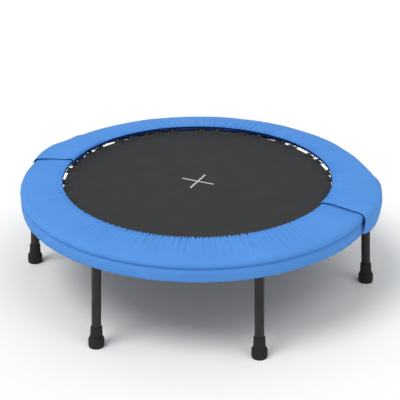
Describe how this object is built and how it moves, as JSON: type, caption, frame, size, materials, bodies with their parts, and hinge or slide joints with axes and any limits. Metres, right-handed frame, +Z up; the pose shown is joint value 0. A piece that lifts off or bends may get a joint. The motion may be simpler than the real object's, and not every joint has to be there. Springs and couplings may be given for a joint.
{
  "type": "folding mini trampoline",
  "caption": "Round mini trampoline: woven mat held by springs in a padded ring frame on screw-in tube legs with rubber feet; the ring folds in half about two side hinges.",
  "frame": {"origin": "on the floor, under the centre of the mat", "axes": "+Z up, +X along the fold axis, +Y towards the half that stays put when it is folded"},
  "size_m": [0.92, 0.9228, 0.282],
  "materials": {
    "frame_paint": "satin black powder coat",
    "bracket_paint": "satin black paint",
    "leg_paint": "satin black powder coat",
    "foot_rubber": "matt moulded rubber",
    "black_plastic": "matt",
    "zinc_hardware": "zinc plated",
    "webbing": "woven webbing",
    "mat_weave": "fine woven polypropylene",
    "ring_wire": "black coated wire",
    "spring_steel": "zinc plated spring wire",
    "foam": "closed-cell foam",
    "elastic": "covered elastic cord",
    "cover_vinyl": "coated cloth, soft sheen"
  },
  "bodies": {
    "rear_half": {"cover_foam_rear": "foam", "cover_rear": "cover_vinyl", "cover_soft_ends_rear": "cover_vinyl", "foot_rear_left": "foot_rubber", "foot_rear_middle": "foot_rubber", "foot_rear_right": "foot_rubber", "frame_tube_rear": "frame_paint", "hinge_bolt_right": "zinc_hardware", "hinge_bracket_narrow_rear_left": "bracket_paint", "hinge_bracket_wide_rear_right": "bracket_paint", "hinge_nut_right": "zinc_hardware", "hinge_sleeve_left": "zinc_hardware", "hinge_washer_right": "zinc_hardware", "leg_sockets_rear": "frame_paint", "leg_studs_rear": "zinc_hardware", "leg_top_plugs_rear": "black_plastic", "leg_tube_rear_left": "leg_paint", "leg_tube_rear_middle": "leg_paint", "leg_tube_rear_right": "leg_paint", "mat_hem_rear": "webbing", "mat_rear": "mat_weave", "mat_tabs_rear": "webbing", "overlap_flap_left": "cover_vinyl", "overlap_flap_right": "cover_vinyl", "skirt_elastic_rear": "elastic", "springs_rear": "spring_steel", "tube_end_plugs_rear": "black_plastic", "wire_rings_rear": "ring_wire"},
    "front_half": {"cover_foam_front": "foam", "cover_front": "cover_vinyl", "cover_soft_ends_front": "cover_vinyl", "foot_front_left": "foot_rubber", "foot_front_middle": "foot_rubber", "foot_front_right": "foot_rubber", "frame_tube_front": "frame_paint", "hinge_bolt_left": "zinc_hardware", "hinge_bracket_narrow_front_right": "bracket_paint", "hinge_bracket_wide_front_left": "bracket_paint", "hinge_nut_left": "zinc_hardware", "hinge_sleeve_right": "zinc_hardware", "hinge_washer_left": "zinc_hardware", "leg_sockets_front": "frame_paint", "leg_studs_front": "zinc_hardware", "leg_top_plugs_front": "black_plastic", "leg_tube_front_left": "leg_paint", "leg_tube_front_middle": "leg_paint", "leg_tube_front_right": "leg_paint", "mat_front": "mat_weave", "mat_hem_front": "webbing", "mat_tabs_front": "webbing", "skirt_elastic_front": "elastic", "springs_front": "spring_steel", "tube_end_plugs_front": "black_plastic", "wire_rings_front": "ring_wire"}
  },
  "joints": [
    {"name": "fold_hinge", "type": "hinge", "parent": "rear_half", "child": "front_half", "pos_m": [0, 0, 0.266], "axis": [-1, 0, 0], "range_deg": [0, 160], "deforming": ["cover_soft_ends_front", "cover_soft_ends_rear", "overlap_flap_left", "overlap_flap_right"]}
  ]
}
